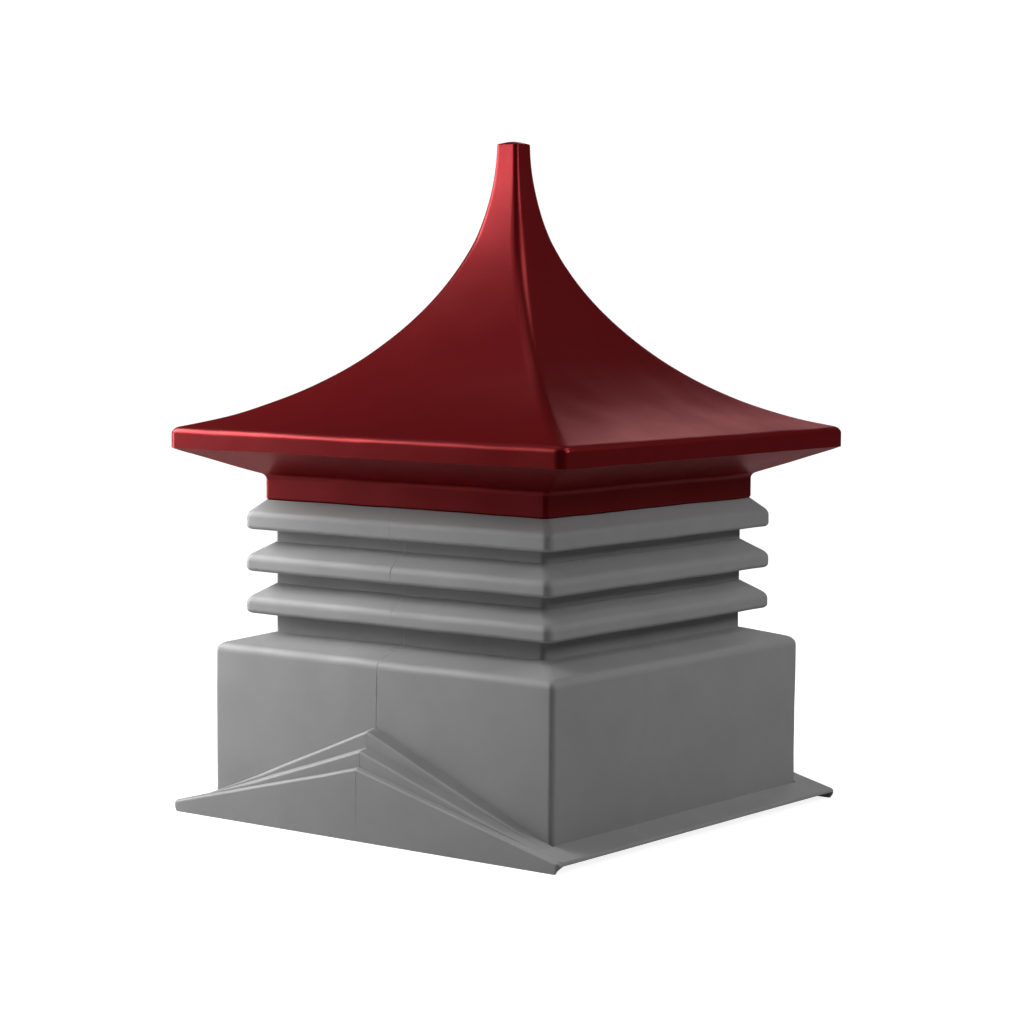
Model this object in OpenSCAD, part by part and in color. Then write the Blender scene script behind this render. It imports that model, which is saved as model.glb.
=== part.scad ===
// Louvred roof cupola moulded in two hollow pieces: a swept roof with a broad eave, and a louvred
// base that straddles a roof ridge. The base's gable ends carry steps for three roof pitches.
// Origin: centre of the base at the level of the gable aprons' lower edges. +Z is up, the gable
// ends face -Y (front) and +Y (back), and the side flanges run along -X (left) and +X (right).

/* [Base] */
// Width of the square base over its walls, mm
wall_width = 806; // [600:1:1000]
// Thickness of the moulded walls, mm
skin = 5; // [3:0.5:7]
// Radius of the upright corners, mm
corner_radius = 10; // [8:0.5:14]
// Height of the pitch lines where they meet the side walls, mm
foot_height = 34; // [28:0.5:50]
// Height of the base walls to the corner under the shoulder, mm
wall_height = 325; // [260:1:420]
// Rise of the sloping shoulder from the wall to the louvres, mm
shoulder_rise = 22.5; // [12:0.5:36]
// Radius of the shoulder's outer edge, mm
shoulder_radius = 18; // [12:0.5:24]

/* [Pitch steps and flanges] */
// Rise of the upper pitch line for each 12 of run
steep_pitch = 5; // [5:0.1:6]
// Rise of the middle pitch line for each 12 of run
middle_pitch = 4; // [3.5:0.1:4.5]
// Rise of the lower pitch line and of the side flanges for each 12 of run
low_pitch = 3; // [2:0.1:3]
// Depth of the upper step's ledge, mm
steep_ledge = 25; // [15:0.5:35]
// Depth of the middle step's ledge, mm
middle_ledge = 21; // [15:0.5:35]
// Depth of the apron's ledge, mm
apron_ledge = 11; // [9:0.5:20]
// Width of each side flange out from the wall, mm
flange_width = 57; // [40:1:70]
// Radius of the flanges' outer edge, mm
flange_nose_radius = 6; // [4:0.5:7]
// Height of each flange's rolled edge below its slope, mm
flange_lip = 5.75; // [5.5:0.25:8]

/* [Louvres] */
// Distance of the louvre noses behind the base walls, mm
louvre_setback = 39; // [20:1:60]
// Distance that the noses stand out from the bands between them, mm
louvre_depth = 42.5; // [34:0.5:52]
// Height from one louvre to the next, mm
louvre_spacing = 80; // [70:1:96]
// Height of the plain band under the lowest louvre, mm
lowest_band = 33; // [20:1:45]
// Height of a louvre's nose, mm
nose_height = 28; // [24:0.5:32]
// Height of a louvre where it meets the band, mm
louvre_root_height = 56.5; // [50:0.5:62]
// Extra nose height of the uppermost louvre, mm
top_nose_extra = 3; // [0:0.5:6]
// Height of the uppermost louvre up to the roof's collar, mm
top_louvre_height = 56.5; // [50:0.5:64]
// Radius of the noses' upper edge, mm
nose_top_radius = 12; // [8:0.5:13]
// Radius of the noses' lower edge, mm
nose_bottom_radius = 8; // [6:0.5:9]

/* [Roof] */
// Distance that the collar stands out from the louvre bands, mm
collar_step = 14.5; // [12:0.5:20]
// Height of the roof's collar, mm
collar_height = 44; // [30:1:60]
// Overhang of the eave beyond the collar, mm
eave_overhang = 129.5; // [90:1:160]
// Rise of the soffit from the collar to the eave, mm
soffit_rise = 52.5; // [35:0.5:70]
// Height of the fascia to the corner where the roof begins, mm
fascia_height = 37; // [30:0.5:50]
// Radius of the edge between the fascia and the roof, mm
eave_radius = 14; // [10:0.5:20]
// Radius of the hollow between the collar and the soffit, mm
soffit_fillet = 12; // [6:0.5:16]
// Radius of the roof's hips and of the eave's upright corners, mm
hip_radius = 20; // [12:0.5:24]
// Height of the roof from the lower edge of the eave to the top of the neck, mm
roof_height = 581; // [470:1:720]
// Width of the neck at its top, mm
neck_width = 48.4; // [40:0.1:60]
// Height of the neck piece, mm
neck_height = 120; // [90:1:150]
// Height of the sweep's centre above the top of the neck, mm
sweep_rise = 9; // [0:1:20]
// Height of the shallow crown on the neck, mm
crown_rise = 4.5; // [2:0.5:8]
// Width of the level middle of the crown, mm
crown_flat = 16; // [8:1:20]

/* [Fit between the mouldings] */
// Gap between the base's spigot and the inside of the collar, mm
spigot_clearance = 1; // [0.5:0.5:2]
// Height of the spigot inside the collar, mm
spigot_height = 50; // [30:1:70]

/* [Hidden] */
reach = 2000;
corner_steps = 4;
arc_steps = 4;
sweep_steps = 14;
neck_steps = 4;
$fn = 48;

// Half widths, from the base outwards and upwards
wall_half = wall_width / 2;
nose_half = wall_half - louvre_setback;
band_half = nose_half - louvre_depth;
collar_half = band_half + collar_step;
spigot_half = collar_half - skin - spigot_clearance;
eave_half = collar_half + eave_overhang;
neck_half = neck_width / 2;
rim_x = wall_half + flange_width;
steep_edge = wall_half + steep_ledge;
middle_edge = steep_edge + middle_ledge;
rim_y = middle_edge + apron_ledge;
flange_opening = foot_height - flange_width * low_pitch / 12 - flange_lip;

// Levels
band_z = wall_height + shoulder_rise;
louvre_z = [for (i = [0:2]) band_z + lowest_band + i * louvre_spacing];
collar_z = louvre_z[2] + top_louvre_height;
soffit_z = collar_z + collar_height;
eave_z = soffit_z + soffit_rise;
roof_corner_z = eave_z + fascia_height;
neck_top_z = eave_z + roof_height;
neck_foot_z = neck_top_z - neck_height;
crown_z = neck_top_z + crown_rise;
cap_z = neck_top_z - skin;

// The roof's sweep is one arc, upright at its centre's level, through the corner of the eave
sweep_z = neck_top_z + sweep_rise;
sweep_run = eave_half - neck_half;
sweep_drop = sweep_z - roof_corner_z;
sweep_radius = (sweep_run ^ 2 + sweep_drop ^ 2) / (2 * sweep_run);
sweep_half = neck_half + sweep_radius;
edge_centre_half = eave_half - eave_radius;
edge_reach = sweep_radius + eave_radius;
edge_centre_z = sweep_z - sqrt(edge_reach ^ 2 - (sweep_half - edge_centre_half) ^ 2);
edge_angle = atan2(sweep_z - edge_centre_z, sweep_half - edge_centre_half);

// ---- Outlines: points are [half width, height] up the outside of a moulding ----

function unit(v) = v / norm(v);
function turned(v) = [-v[1], v[0]];

// Arc of the given radius round the corner b between the directions to a and c
function corner_arc(a, b, c, radius) =
    let (
        back = unit(a - b),
        on = unit(c - b),
        half_angle = acos(back * on) / 2,
        centre = b + unit(back + on) * radius / sin(half_angle),
        from = b + back * radius / tan(half_angle) - centre,
        to = b + on * radius / tan(half_angle) - centre,
        start = atan2(from[1], from[0]),
        sweep = atan2(to[1] * cos(start) - to[0] * sin(start), to[0] * cos(start) + to[1] * sin(start))
    )
    [for (i = [0:arc_steps]) centre + radius * [cos(start + sweep * i / arc_steps),
                                                sin(start + sweep * i / arc_steps)]];

// Path through corners [half width, height, radius], with an arc at each corner that has a radius
function rounded_path(corners) = [
    for (i = [0:len(corners) - 1])
        let (here = [corners[i][0], corners[i][1]])
        if (corners[i][2] > 0)
            each corner_arc([corners[i - 1][0], corners[i - 1][1]], here,
                            [corners[i + 1][0], corners[i + 1][1]], corners[i][2])
        else
            here
];

function sweep_width(z) = sweep_half - sqrt(sweep_radius ^ 2 - (sweep_z - z) ^ 2);
function sweep_angle(z) = asin((sweep_z - z) / sweep_radius);
function sweep_arc(from_angle, to_angle, steps) = [
    for (i = [0:steps])
        let (angle = from_angle + (to_angle - from_angle) * i / steps)
        [sweep_half - sweep_radius * cos(angle), sweep_z - sweep_radius * sin(angle)]
];

// Inside of a moulding: each point of its outside moved inwards by the skin, square to the path
function inside(path) = [
    for (i = [0:len(path) - 1])
        let (
            before = i > 0 ? unit(path[i] - path[i - 1]) : unit(path[1] - path[0]),
            after = i < len(path) - 1 ? unit(path[i + 1] - path[i]) : before,
            middle = unit(turned(before) + turned(after))
        )
        path[i] + middle * skin / (middle * turned(after))
];

function slice(list, from, to) = [for (i = [from:to]) list[i]];

// ---- Rings: an outline wrapped round a square plan with rounded corners ----

// Radius of the upright corner at a point of an outline
function plan_radius(point) = min(point[1] < eave_z ? corner_radius : hip_radius, 0.35 * point[0]);

// Points round the square at one level, corner by corner from the one towards +X and +Y
function plan_points(point, radius) = [
    for (corner = [0:3], i = [0:corner_steps])
        let (
            turn = 90 * corner + 90 * i / corner_steps,
            centre = point[0] - radius,
            x_sign = corner == 0 || corner == 3 ? 1 : -1,
            y_sign = corner < 2 ? 1 : -1
        )
        [x_sign * centre + radius * cos(turn), y_sign * centre + radius * sin(turn), point[1]]
];

function wrap_rows(outer, inner) = concat(
    [for (p = outer) plan_points(p, plan_radius(p))],
    [for (i = [len(inner) - 1:-1:0])
        plan_points(inner[i], max(1, plan_radius(outer[i]) - skin))]
);

function flat(rows) = [for (row = rows) each row];

// A full ring of moulding between an outside outline and its inside
module ring(outer, inner) {
    rows = wrap_rows(outer, inner);
    m = len(rows);
    n = len(rows[0]);
    faces = [
        for (i = [0:m - 1], j = [0:n - 1])
            let (
                a = i * n + j,
                b = i * n + (j + 1) % n,
                c = ((i + 1) % m) * n + (j + 1) % n,
                d = ((i + 1) % m) * n + j
            )
            each [[a, c, b], [a, d, c]]
    ];
    polyhedron(points = flat(rows), faces = faces, convexity = 8);
}

// One side of a ring, cut along the hips; side 0 faces +Y, 1 faces -X, 2 faces -Y and 3 faces +X
module ring_side(outer, inner, side) {
    rows = wrap_rows(outer, inner);
    m = len(rows);
    full = len(rows[0]);
    per_corner = corner_steps + 1;
    first = side * per_corner + corner_steps / 2;
    n = per_corner + 1;
    points = [for (row = rows) each [for (j = [0:n - 1]) row[(first + j) % full]]];
    skin_faces = [
        for (i = [0:m - 1], j = [0:n - 2])
            let (
                a = i * n + j,
                b = i * n + j + 1,
                c = ((i + 1) % m) * n + j + 1,
                d = ((i + 1) % m) * n + j
            )
            each [[a, c, b], [a, d, c]]
    ];
    hip_faces = [
        for (i = [0:len(outer) - 2])
            let (
                a = i * n,
                b = (i + 1) * n,
                c = (m - 2 - i) * n,
                d = (m - 1 - i) * n,
                e = n - 1
            )
            each [[a, c, b], [a, d, c], [a + e, b + e, c + e], [a + e, c + e, d + e]]
    ];
    polyhedron(points = points, faces = concat(skin_faces, hip_faces), convexity = 8);
}

// ---- Outlines of the two mouldings ----

function louvre_corners(z, nose, root, root_half) = [
    [band_half, z, 0],
    [nose_half, z, nose_bottom_radius],
    [nose_half, z + nose, nose_top_radius],
    [root_half, z + root, 0]
];
shoulder_foot_z = corner_arc([wall_half, 0], [wall_half, wall_height], [band_half, band_z],
                             shoulder_radius)[0][1];
wall_top_z = shoulder_foot_z - skin;
base_path = concat(
    rounded_path([[wall_half, wall_top_z, 0], [wall_half, wall_height, shoulder_radius],
                  [band_half, band_z, 0]]),
    rounded_path(louvre_corners(louvre_z[0], nose_height, louvre_root_height, band_half)),
    rounded_path(louvre_corners(louvre_z[1], nose_height, louvre_root_height, band_half)),
    rounded_path(louvre_corners(louvre_z[2], nose_height + top_nose_extra, top_louvre_height,
                                collar_half)),
    [[spigot_half, collar_z], [spigot_half, collar_z + spigot_height]]
);
base_inside = inside(base_path);

// Places in the base's outline at which its pieces meet
louvre_size = 2 * arc_steps + 4;
shoulder_end = arc_steps + 2;
louvre_foot = [for (i = [0:2]) shoulder_end + 1 + i * louvre_size];
louvre_head = [for (foot = louvre_foot) foot + louvre_size - 1];
seat_end = louvre_head[2] + 1;

edge_arc = [
    for (i = [0:arc_steps])
        let (angle = edge_angle * i / arc_steps)
        [edge_centre_half + eave_radius * cos(angle), edge_centre_z + eave_radius * sin(angle)]
];
roof_path = concat(
    rounded_path([[collar_half, collar_z, 0], [collar_half, soffit_z, soffit_fillet],
                  [eave_half, eave_z, 0]]),
    edge_arc,
    slice(sweep_arc(edge_angle, sweep_angle(neck_foot_z), sweep_steps), 1, sweep_steps),
    slice(sweep_arc(sweep_angle(neck_foot_z), sweep_angle(cap_z), neck_steps), 1, neck_steps)
);
roof_inside = inside(roof_path);
eave_foot = arc_steps + 2;
edge_end = eave_foot + 1 + arc_steps;
neck_start = edge_end + sweep_steps;

module base_ring(from, to) {
    ring(slice(base_path, from, to), slice(base_inside, from, to));
}

module roof_ring(from, to) {
    ring(slice(roof_path, from, to), slice(roof_inside, from, to));
}

// ---- Roof moulding ----

module roof_side(side) {
    from = edge_end;
    to = neck_start;
    color("#6e1416")
        ring_side(slice(roof_path, from, to), slice(roof_inside, from, to), side);
}

module roof_front() roof_side(2);
module roof_back() roof_side(0);
module roof_left() roof_side(1);
module roof_right() roof_side(3);

module roof_neck() {
    color("#7d2224")
        roof_ring(neck_start, neck_start + neck_steps);
}

module roof_crown() {
    outline = [[sweep_width(cap_z), cap_z], [neck_half, neck_top_z], [crown_flat / 2, crown_z]];
    rows = [for (p = outline) plan_points(p, plan_radius(p))];
    n = len(rows[0]);
    sides = [
        for (i = [0:1], j = [0:n - 1])
            let (a = i * n + j, b = i * n + (j + 1) % n)
            each [[a, b + n, b], [a, a + n, b + n]]
    ];
    caps = [[for (j = [0:n - 1]) j], [for (j = [n - 1:-1:0]) 2 * n + j]];
    color("#8c3032")
        polyhedron(points = flat(rows), faces = concat(sides, caps), convexity = 4);
}

module eave_fascia() {
    color("#7a1a1c")
        roof_ring(eave_foot, edge_end);
}

module eave_soffit() {
    color("#8e1f22")
        roof_ring(1, eave_foot);
}

module roof_collar() {
    color("#4a0e10")
        roof_ring(0, 1);
}

// ---- Louvred part of the base moulding ----

module louvre(i) {
    end = i < 2 ? louvre_head[i] : seat_end;
    color("#8b8b89")
        base_ring(louvre_foot[i], end);
}

module louvre_lower() louvre(0);
module louvre_middle() louvre(1);
module louvre_upper() louvre(2);

module band(from, to) {
    color("#5d5d5c")
        base_ring(from, to);
}

module band_lower() band(shoulder_end, louvre_foot[0]);
module band_middle() band(louvre_head[0], louvre_foot[1]);
module band_upper() band(louvre_head[1], louvre_foot[2]);

module spigot() {
    color("#6f6f6d")
        base_ring(seat_end, seat_end + 1);
}

module shoulder() {
    color("#9a9a98")
        base_ring(0, shoulder_end);
}

// ---- Walls, pitch steps and flanges of the base moulding ----

function pitch_rise(pitch, x) = foot_height + (wall_half - x) * pitch / 12;

module rounded_rectangle(half_x, half_y, radius) {
    for (sx = [-1, 1])
        for (sy = [-1, 1])
            translate([sx * (half_x - radius), sy * (half_y - radius)])
                circle(radius);
    square([2 * half_x, 2 * (half_y - radius)], center = true);
    square([2 * (half_x - radius), 2 * half_y], center = true);
}

// Upright slab with the gable's outline: below the line of one pitch, down to a level
module under_pitch(pitch, half_x, drop, bottom) {
    peak = pitch_rise(pitch, 0) - drop;
    end = pitch_rise(pitch, half_x) - drop;
    rotate([90, 0, 0])
        linear_extrude(2 * reach, center = true)
            polygon([[-half_x, bottom], [half_x, bottom], [half_x, end], [0, peak], [-half_x, end]]);
}

module wall_plan() {
    difference() {
        rounded_rectangle(wall_half, wall_half, corner_radius);
        rounded_rectangle(wall_half - skin, wall_half - skin, corner_radius - skin);
    }
}

// Gable wall with its rounded corners, standing on the upper pitch line
module gable_wall(side) {
    half = wall_half - corner_radius;
    color("#a5a5a3")
        difference() {
            linear_extrude(wall_top_z)
                intersection() {
                    wall_plan();
                    translate([-reach, side > 0 ? half : -reach - half])
                        square([2 * reach, reach]);
                }
            under_pitch(steep_pitch, wall_half + corner_radius, skin, -reach);
        }
}

module front_wall() gable_wall(-1);
module back_wall() gable_wall(1);

module side_wall(side) {
    half = wall_half - corner_radius;
    bottom = foot_height - skin;
    color("#8f8f8d")
        translate([side > 0 ? wall_half - skin : -wall_half, -half, bottom])
            cube([skin, 2 * half, wall_top_z - bottom]);
}

module left_wall() side_wall(-1);
module right_wall() side_wall(1);

// Ledge of a step in plan, from the riser or wall behind it to its own edge
module ledge_plan(from, to, behind_half_x) {
    difference() {
        translate([-wall_half, from - corner_radius])
            square([2 * wall_half, to - from + corner_radius]);
        rounded_rectangle(behind_half_x, from, corner_radius);
    }
}

// One step of a gable end: a ledge on its pitch line, and the riser that stands under its edge
module pitch_step(side, pitch, next_pitch, from, to, behind_half_x) {
    color("#989896")
        mirror([0, side > 0 ? 0 : 1, 0])
            difference() {
                intersection() {
                    linear_extrude(wall_height)
                        ledge_plan(from, to, behind_half_x);
                    under_pitch(pitch, rim_x, 0, -reach);
                }
                intersection() {
                    translate([-reach, -reach, -reach])
                        cube([2 * reach, reach + to - skin, 2 * reach]);
                    under_pitch(pitch, rim_x, skin, -reach);
                }
                under_pitch(next_pitch, rim_x, skin, -reach);
            }
}

module front_steep_step() pitch_step(-1, steep_pitch, middle_pitch, wall_half, steep_edge, wall_half);
module back_steep_step() pitch_step(1, steep_pitch, middle_pitch, wall_half, steep_edge, wall_half);
module front_middle_step() pitch_step(-1, middle_pitch, low_pitch, steep_edge, middle_edge, rim_x);
module back_middle_step() pitch_step(1, middle_pitch, low_pitch, steep_edge, middle_edge, rim_x);

// Openings under both flanges, with a quarter round at each end, cut only beyond the flat aprons
module flange_openings() {
    inner = rim_x - corner_radius;
    straight = rim_y - flange_opening;
    for (sx = [-1, 1])
        translate([sx > 0 ? inner : -inner - 2 * corner_radius, 0, 0])
            rotate([90, 0, 90])
                linear_extrude(2 * corner_radius) {
                    translate([-straight, -1])
                        square([2 * straight, flange_opening + 1]);
                    for (sy = [-1, 1])
                        translate([sy * straight, 0])
                            circle(flange_opening);
                }
}

// Apron of a gable end: the lowest ledge, the face under it and both rounded corners
module gable_apron(side) {
    color("#a0a09e")
        mirror([0, side > 0 ? 0 : 1, 0])
            difference() {
                intersection() {
                    linear_extrude(wall_height)
                        intersection() {
                            rounded_rectangle(rim_x, rim_y, corner_radius);
                            translate([-reach, middle_edge])
                                square([2 * reach, reach]);
                        }
                    under_pitch(low_pitch, rim_x, 0, -reach);
                }
                intersection() {
                    translate([0, 0, -1])
                        linear_extrude(wall_height)
                            rounded_rectangle(rim_x - skin, rim_y - skin, corner_radius - skin);
                    under_pitch(low_pitch, rim_x, skin, -reach);
                }
                flange_openings();
            }
}

module front_apron() gable_apron(-1);
module back_apron() gable_apron(1);

module side_flange(side) {
    edge_z = pitch_rise(low_pitch, rim_x);
    inner_x = rim_x - skin;
    outline = concat(
        rounded_path([[wall_half, foot_height, 0], [rim_x, edge_z, flange_nose_radius],
                      [rim_x, flange_opening, 0]]),
        [[inner_x, flange_opening], [inner_x, pitch_rise(low_pitch, inner_x) - skin],
         [wall_half, foot_height - skin]]
    );
    color("#949492")
        mirror([side > 0 ? 0 : 1, 0, 0])
            rotate([90, 0, 0])
                linear_extrude(2 * middle_edge, center = true)
                    polygon(outline);
}

module left_flange() side_flange(-1);
module right_flange() side_flange(1);

// ---- Nodes ----

roof_crown();
roof_neck();
roof_front();
roof_back();
roof_left();
roof_right();
eave_fascia();
eave_soffit();
roof_collar();
spigot();
louvre_upper();
louvre_middle();
louvre_lower();
band_upper();
band_middle();
band_lower();
shoulder();
front_wall();
back_wall();
left_wall();
right_wall();
front_steep_step();
front_middle_step();
front_apron();
back_steep_step();
back_middle_step();
back_apron();
left_flange();
right_flange();
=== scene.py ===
"""Looks of a louvred roof cupola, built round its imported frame.

The cupola is moulded in two hollow pieces: a louvred base that straddles a roof ridge, and a
swept roof with a broad eave. Each piece here stands for one node of the frame. +Z is up, the
gable ends face -Y and +Y, and the side flanges run along -X and +X. Every size is in metres.
"""

import logging
import math
from dataclasses import dataclass, field, replace
from enum import Enum
from typing import Callable

import bmesh
import bpy
import numpy as np
from mathutils import Matrix, Vector


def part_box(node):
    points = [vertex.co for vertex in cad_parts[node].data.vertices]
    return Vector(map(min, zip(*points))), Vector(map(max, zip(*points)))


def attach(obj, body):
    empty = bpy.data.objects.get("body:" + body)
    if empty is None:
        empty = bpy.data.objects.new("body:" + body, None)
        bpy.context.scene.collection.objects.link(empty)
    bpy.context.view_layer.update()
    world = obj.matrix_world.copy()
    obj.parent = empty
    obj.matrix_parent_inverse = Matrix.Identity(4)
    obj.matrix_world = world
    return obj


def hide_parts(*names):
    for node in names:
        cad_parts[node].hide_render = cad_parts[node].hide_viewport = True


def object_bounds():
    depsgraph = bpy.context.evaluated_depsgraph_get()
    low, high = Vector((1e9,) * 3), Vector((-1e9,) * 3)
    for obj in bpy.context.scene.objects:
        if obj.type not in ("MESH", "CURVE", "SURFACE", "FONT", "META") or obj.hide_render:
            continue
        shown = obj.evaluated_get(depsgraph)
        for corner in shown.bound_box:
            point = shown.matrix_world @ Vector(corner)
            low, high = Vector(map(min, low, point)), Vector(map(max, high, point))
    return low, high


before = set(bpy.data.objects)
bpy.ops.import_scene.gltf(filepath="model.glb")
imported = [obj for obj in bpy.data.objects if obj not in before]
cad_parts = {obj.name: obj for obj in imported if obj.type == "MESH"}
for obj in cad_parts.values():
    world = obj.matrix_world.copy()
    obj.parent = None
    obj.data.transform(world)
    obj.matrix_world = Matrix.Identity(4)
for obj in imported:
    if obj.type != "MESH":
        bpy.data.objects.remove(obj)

log = logging.getLogger("cupola")

CAD_BOX = [list(corner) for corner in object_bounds()]
MM = 0.001
COLUMN_STEP = 16 * MM
ROW_STEP = 18 * MM
ARC_STEP = math.radians(11)
CORNER_STEPS = 8
WALL_ROWS = 19
THINNEST = 0.4 * MM
SAME_PLACE = 1e-6
SAME_SURFACE = math.radians(38)


class Slot(Enum):
    """Material slots of the record that a piece takes its finish from."""

    ROOF = "roof_plastic"
    BASE = "base_plastic"


class Facing(Enum):
    """Side of the square plan, by the corner at which it starts."""

    BACK = 0
    LEFT = 1
    FRONT = 2
    RIGHT = 3


# ---- Outlines of the mouldings ----


@dataclass(frozen=True)
class Corner:
    """Corner of an outline: half width, height, radius, and a name if pieces meet there."""

    half: float
    height: float
    radius: float = 0.0
    mark: str = ""


def arc_points(before: np.ndarray, corner: np.ndarray, after: np.ndarray, radius: float,
               steps: int) -> np.ndarray:
    """Round a corner between two straight lines.

    Args:
        before: a point on the line that comes in.
        corner: the corner itself.
        after: a point on the line that goes out.
        radius: the radius of the arc.
        steps: how many pieces the arc is cut into.

    Returns:
        The arc's points, from the line that comes in to the one that goes out.
    """
    back = (before - corner) / np.linalg.norm(before - corner)
    onward = (after - corner) / np.linalg.norm(after - corner)
    half_angle = math.acos(float(np.clip(back @ onward, -1, 1))) / 2
    bisector = (back + onward) / np.linalg.norm(back + onward)
    centre = corner + bisector * radius / math.sin(half_angle)
    first = corner + back * radius / math.tan(half_angle) - centre
    last = corner + onward * radius / math.tan(half_angle) - centre
    start = math.atan2(first[1], first[0])
    sweep = math.atan2(first[0] * last[1] - first[1] * last[0], float(first @ last))
    turns = start + sweep * np.linspace(0, 1, steps + 1)
    return centre + radius * np.column_stack([np.cos(turns), np.sin(turns)])


@dataclass
class Outline:
    """Outline of one moulding, traced upwards, with the inside of its skin beside it."""

    skin: float
    outer: list[tuple[float, float]] = field(default_factory=list)
    inner: list[tuple[float, float]] = field(default_factory=list)
    marks: dict[str, int] = field(default_factory=dict)

    def add(self, outer: np.ndarray, inner: np.ndarray, mark: str = "") -> None:
        """Add a pair of points, with more pairs between if the step to it is long.

        Args:
            outer: the point outside.
            inner: the point inside.
            mark: name under which the pair is remembered.
        """
        if self.outer:
            last_outer, last_inner = np.array(self.outer[-1]), np.array(self.inner[-1])
            count = math.ceil(float(np.linalg.norm(outer - last_outer)) / ROW_STEP)
            for share in [i / count for i in range(1, count)]:
                self.outer.append(tuple(last_outer + (outer - last_outer) * share))
                self.inner.append(tuple(last_inner + (inner - last_inner) * share))
        self.outer.append(tuple(outer))
        self.inner.append(tuple(inner))
        if mark:
            self.marks[mark] = len(self.outer) - 1

    def trace(self, corners: list[Corner]) -> None:
        """Follow corners, with an arc at each one that has a radius.

        Args:
            corners: the corners in order, upwards, with the outside on the right.
        """
        places = np.array([[c.half, c.height] for c in corners])
        ways = np.diff(places, axis=0)
        ways /= np.linalg.norm(ways, axis=1)[:, None]
        lefts = np.column_stack([-ways[:, 1], ways[:, 0]])
        insides = []
        for i, place in enumerate(places):
            left_in, left_out = lefts[max(i - 1, 0)], lefts[min(i, len(lefts) - 1)]
            middle = (left_in + left_out) / np.linalg.norm(left_in + left_out)
            insides.append(place + middle * self.skin / float(middle @ left_out))
        for i, corner in enumerate(corners):
            if corner.radius <= 0:
                self.add(places[i], insides[i], corner.mark)
                continue
            bend = ways[i - 1][0] * ways[i][1] - ways[i - 1][1] * ways[i][0]
            steps = max(4, round(abs(math.asin(float(np.clip(bend, -1, 1)))) / ARC_STEP))
            inner_radius = max(THINNEST, corner.radius - math.copysign(self.skin, bend))
            outer = arc_points(places[i - 1], places[i], places[i + 1], corner.radius, steps)
            inner = arc_points(insides[i - 1], insides[i], insides[i + 1], inner_radius, steps)
            for k, (a, b) in enumerate(zip(outer, inner)):
                self.add(a, b, corner.mark if k == 0 else "")

    def sweep(self, centre: tuple[float, float], radius: float, turns: np.ndarray,
              hollow: bool) -> None:
        """Follow an arc about a centre.

        Args:
            centre: half width and height of the arc's centre.
            radius: radius of the outside.
            turns: angles of the points, from the outward level direction.
            hollow: whether the outside is hollow, so that its centre lies outside.
        """
        inner_radius = radius + (self.skin if hollow else -self.skin)
        for turn in turns:
            way = np.array([math.cos(turn), math.sin(turn)])
            self.add(np.array(centre) + radius * way, np.array(centre) + inner_radius * way)

    def between(self, first: str, last: str) -> "Outline":
        """Cut out the part between two marks.

        Args:
            first: mark at which the part starts.
            last: mark at which it ends.

        Returns:
            A new outline with both ends.
        """
        a, b = self.marks[first], self.marks[last] + 1
        return Outline(self.skin, self.outer[a:b], self.inner[a:b])

    def note(self, mark: str) -> None:
        """Remember the last pair under a name."""
        self.marks[mark] = len(self.outer) - 1


# ---- Meshes ----


def section_faces(rows: int, columns: int, closed: bool) -> list[tuple[int, int, int, int]]:
    """Join a loop of rows round a moulded section, column by column.

    Args:
        rows: rows in the loop, the outside upwards and then the inside downwards.
        columns: columns of the grid.
        closed: whether the last column joins the first.

    Returns:
        Four-cornered faces that point out of the material, with both ends capped if open.
    """
    faces = []
    for i in range(rows):
        here, above = i * columns, ((i + 1) % rows) * columns
        for j in range(columns if closed else columns - 1):
            beside = (j + 1) % columns
            faces.append((here + j, here + beside, above + beside, above + j))
    if not closed:
        end = columns - 1
        for k in range(rows // 2 - 1):
            a, b = k * columns, (k + 1) * columns
            c, d = (rows - 2 - k) * columns, (rows - 1 - k) * columns
            faces.append((a, b, c, d))
            faces.append((a + end, d + end, c + end, b + end))
    return faces


def make_object(name: str, points: np.ndarray, faces: list) -> bpy.types.Object:
    """Make a mesh object at the origin.

    Args:
        name: the object's name.
        points: places of its vertices.
        faces: its faces.

    Returns:
        The linked object.
    """
    mesh = bpy.data.meshes.new(name)
    mesh.from_pydata(points.tolist(), [], faces)
    mesh.update()
    made = bpy.data.objects.new(name, mesh)
    bpy.context.scene.collection.objects.link(made)
    return made


def join_doubles(mesh: bpy.types.Mesh) -> None:
    """Merge the vertices that share a place and drop the faces that this closes up."""
    work = bmesh.new()
    work.from_mesh(mesh)
    bmesh.ops.remove_doubles(work, verts=work.verts, dist=SAME_PLACE)
    bmesh.ops.dissolve_degenerate(work, edges=work.edges, dist=SAME_PLACE / 10)
    work.to_mesh(mesh)
    work.free()


# ---- Geometry Nodes ----


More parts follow.
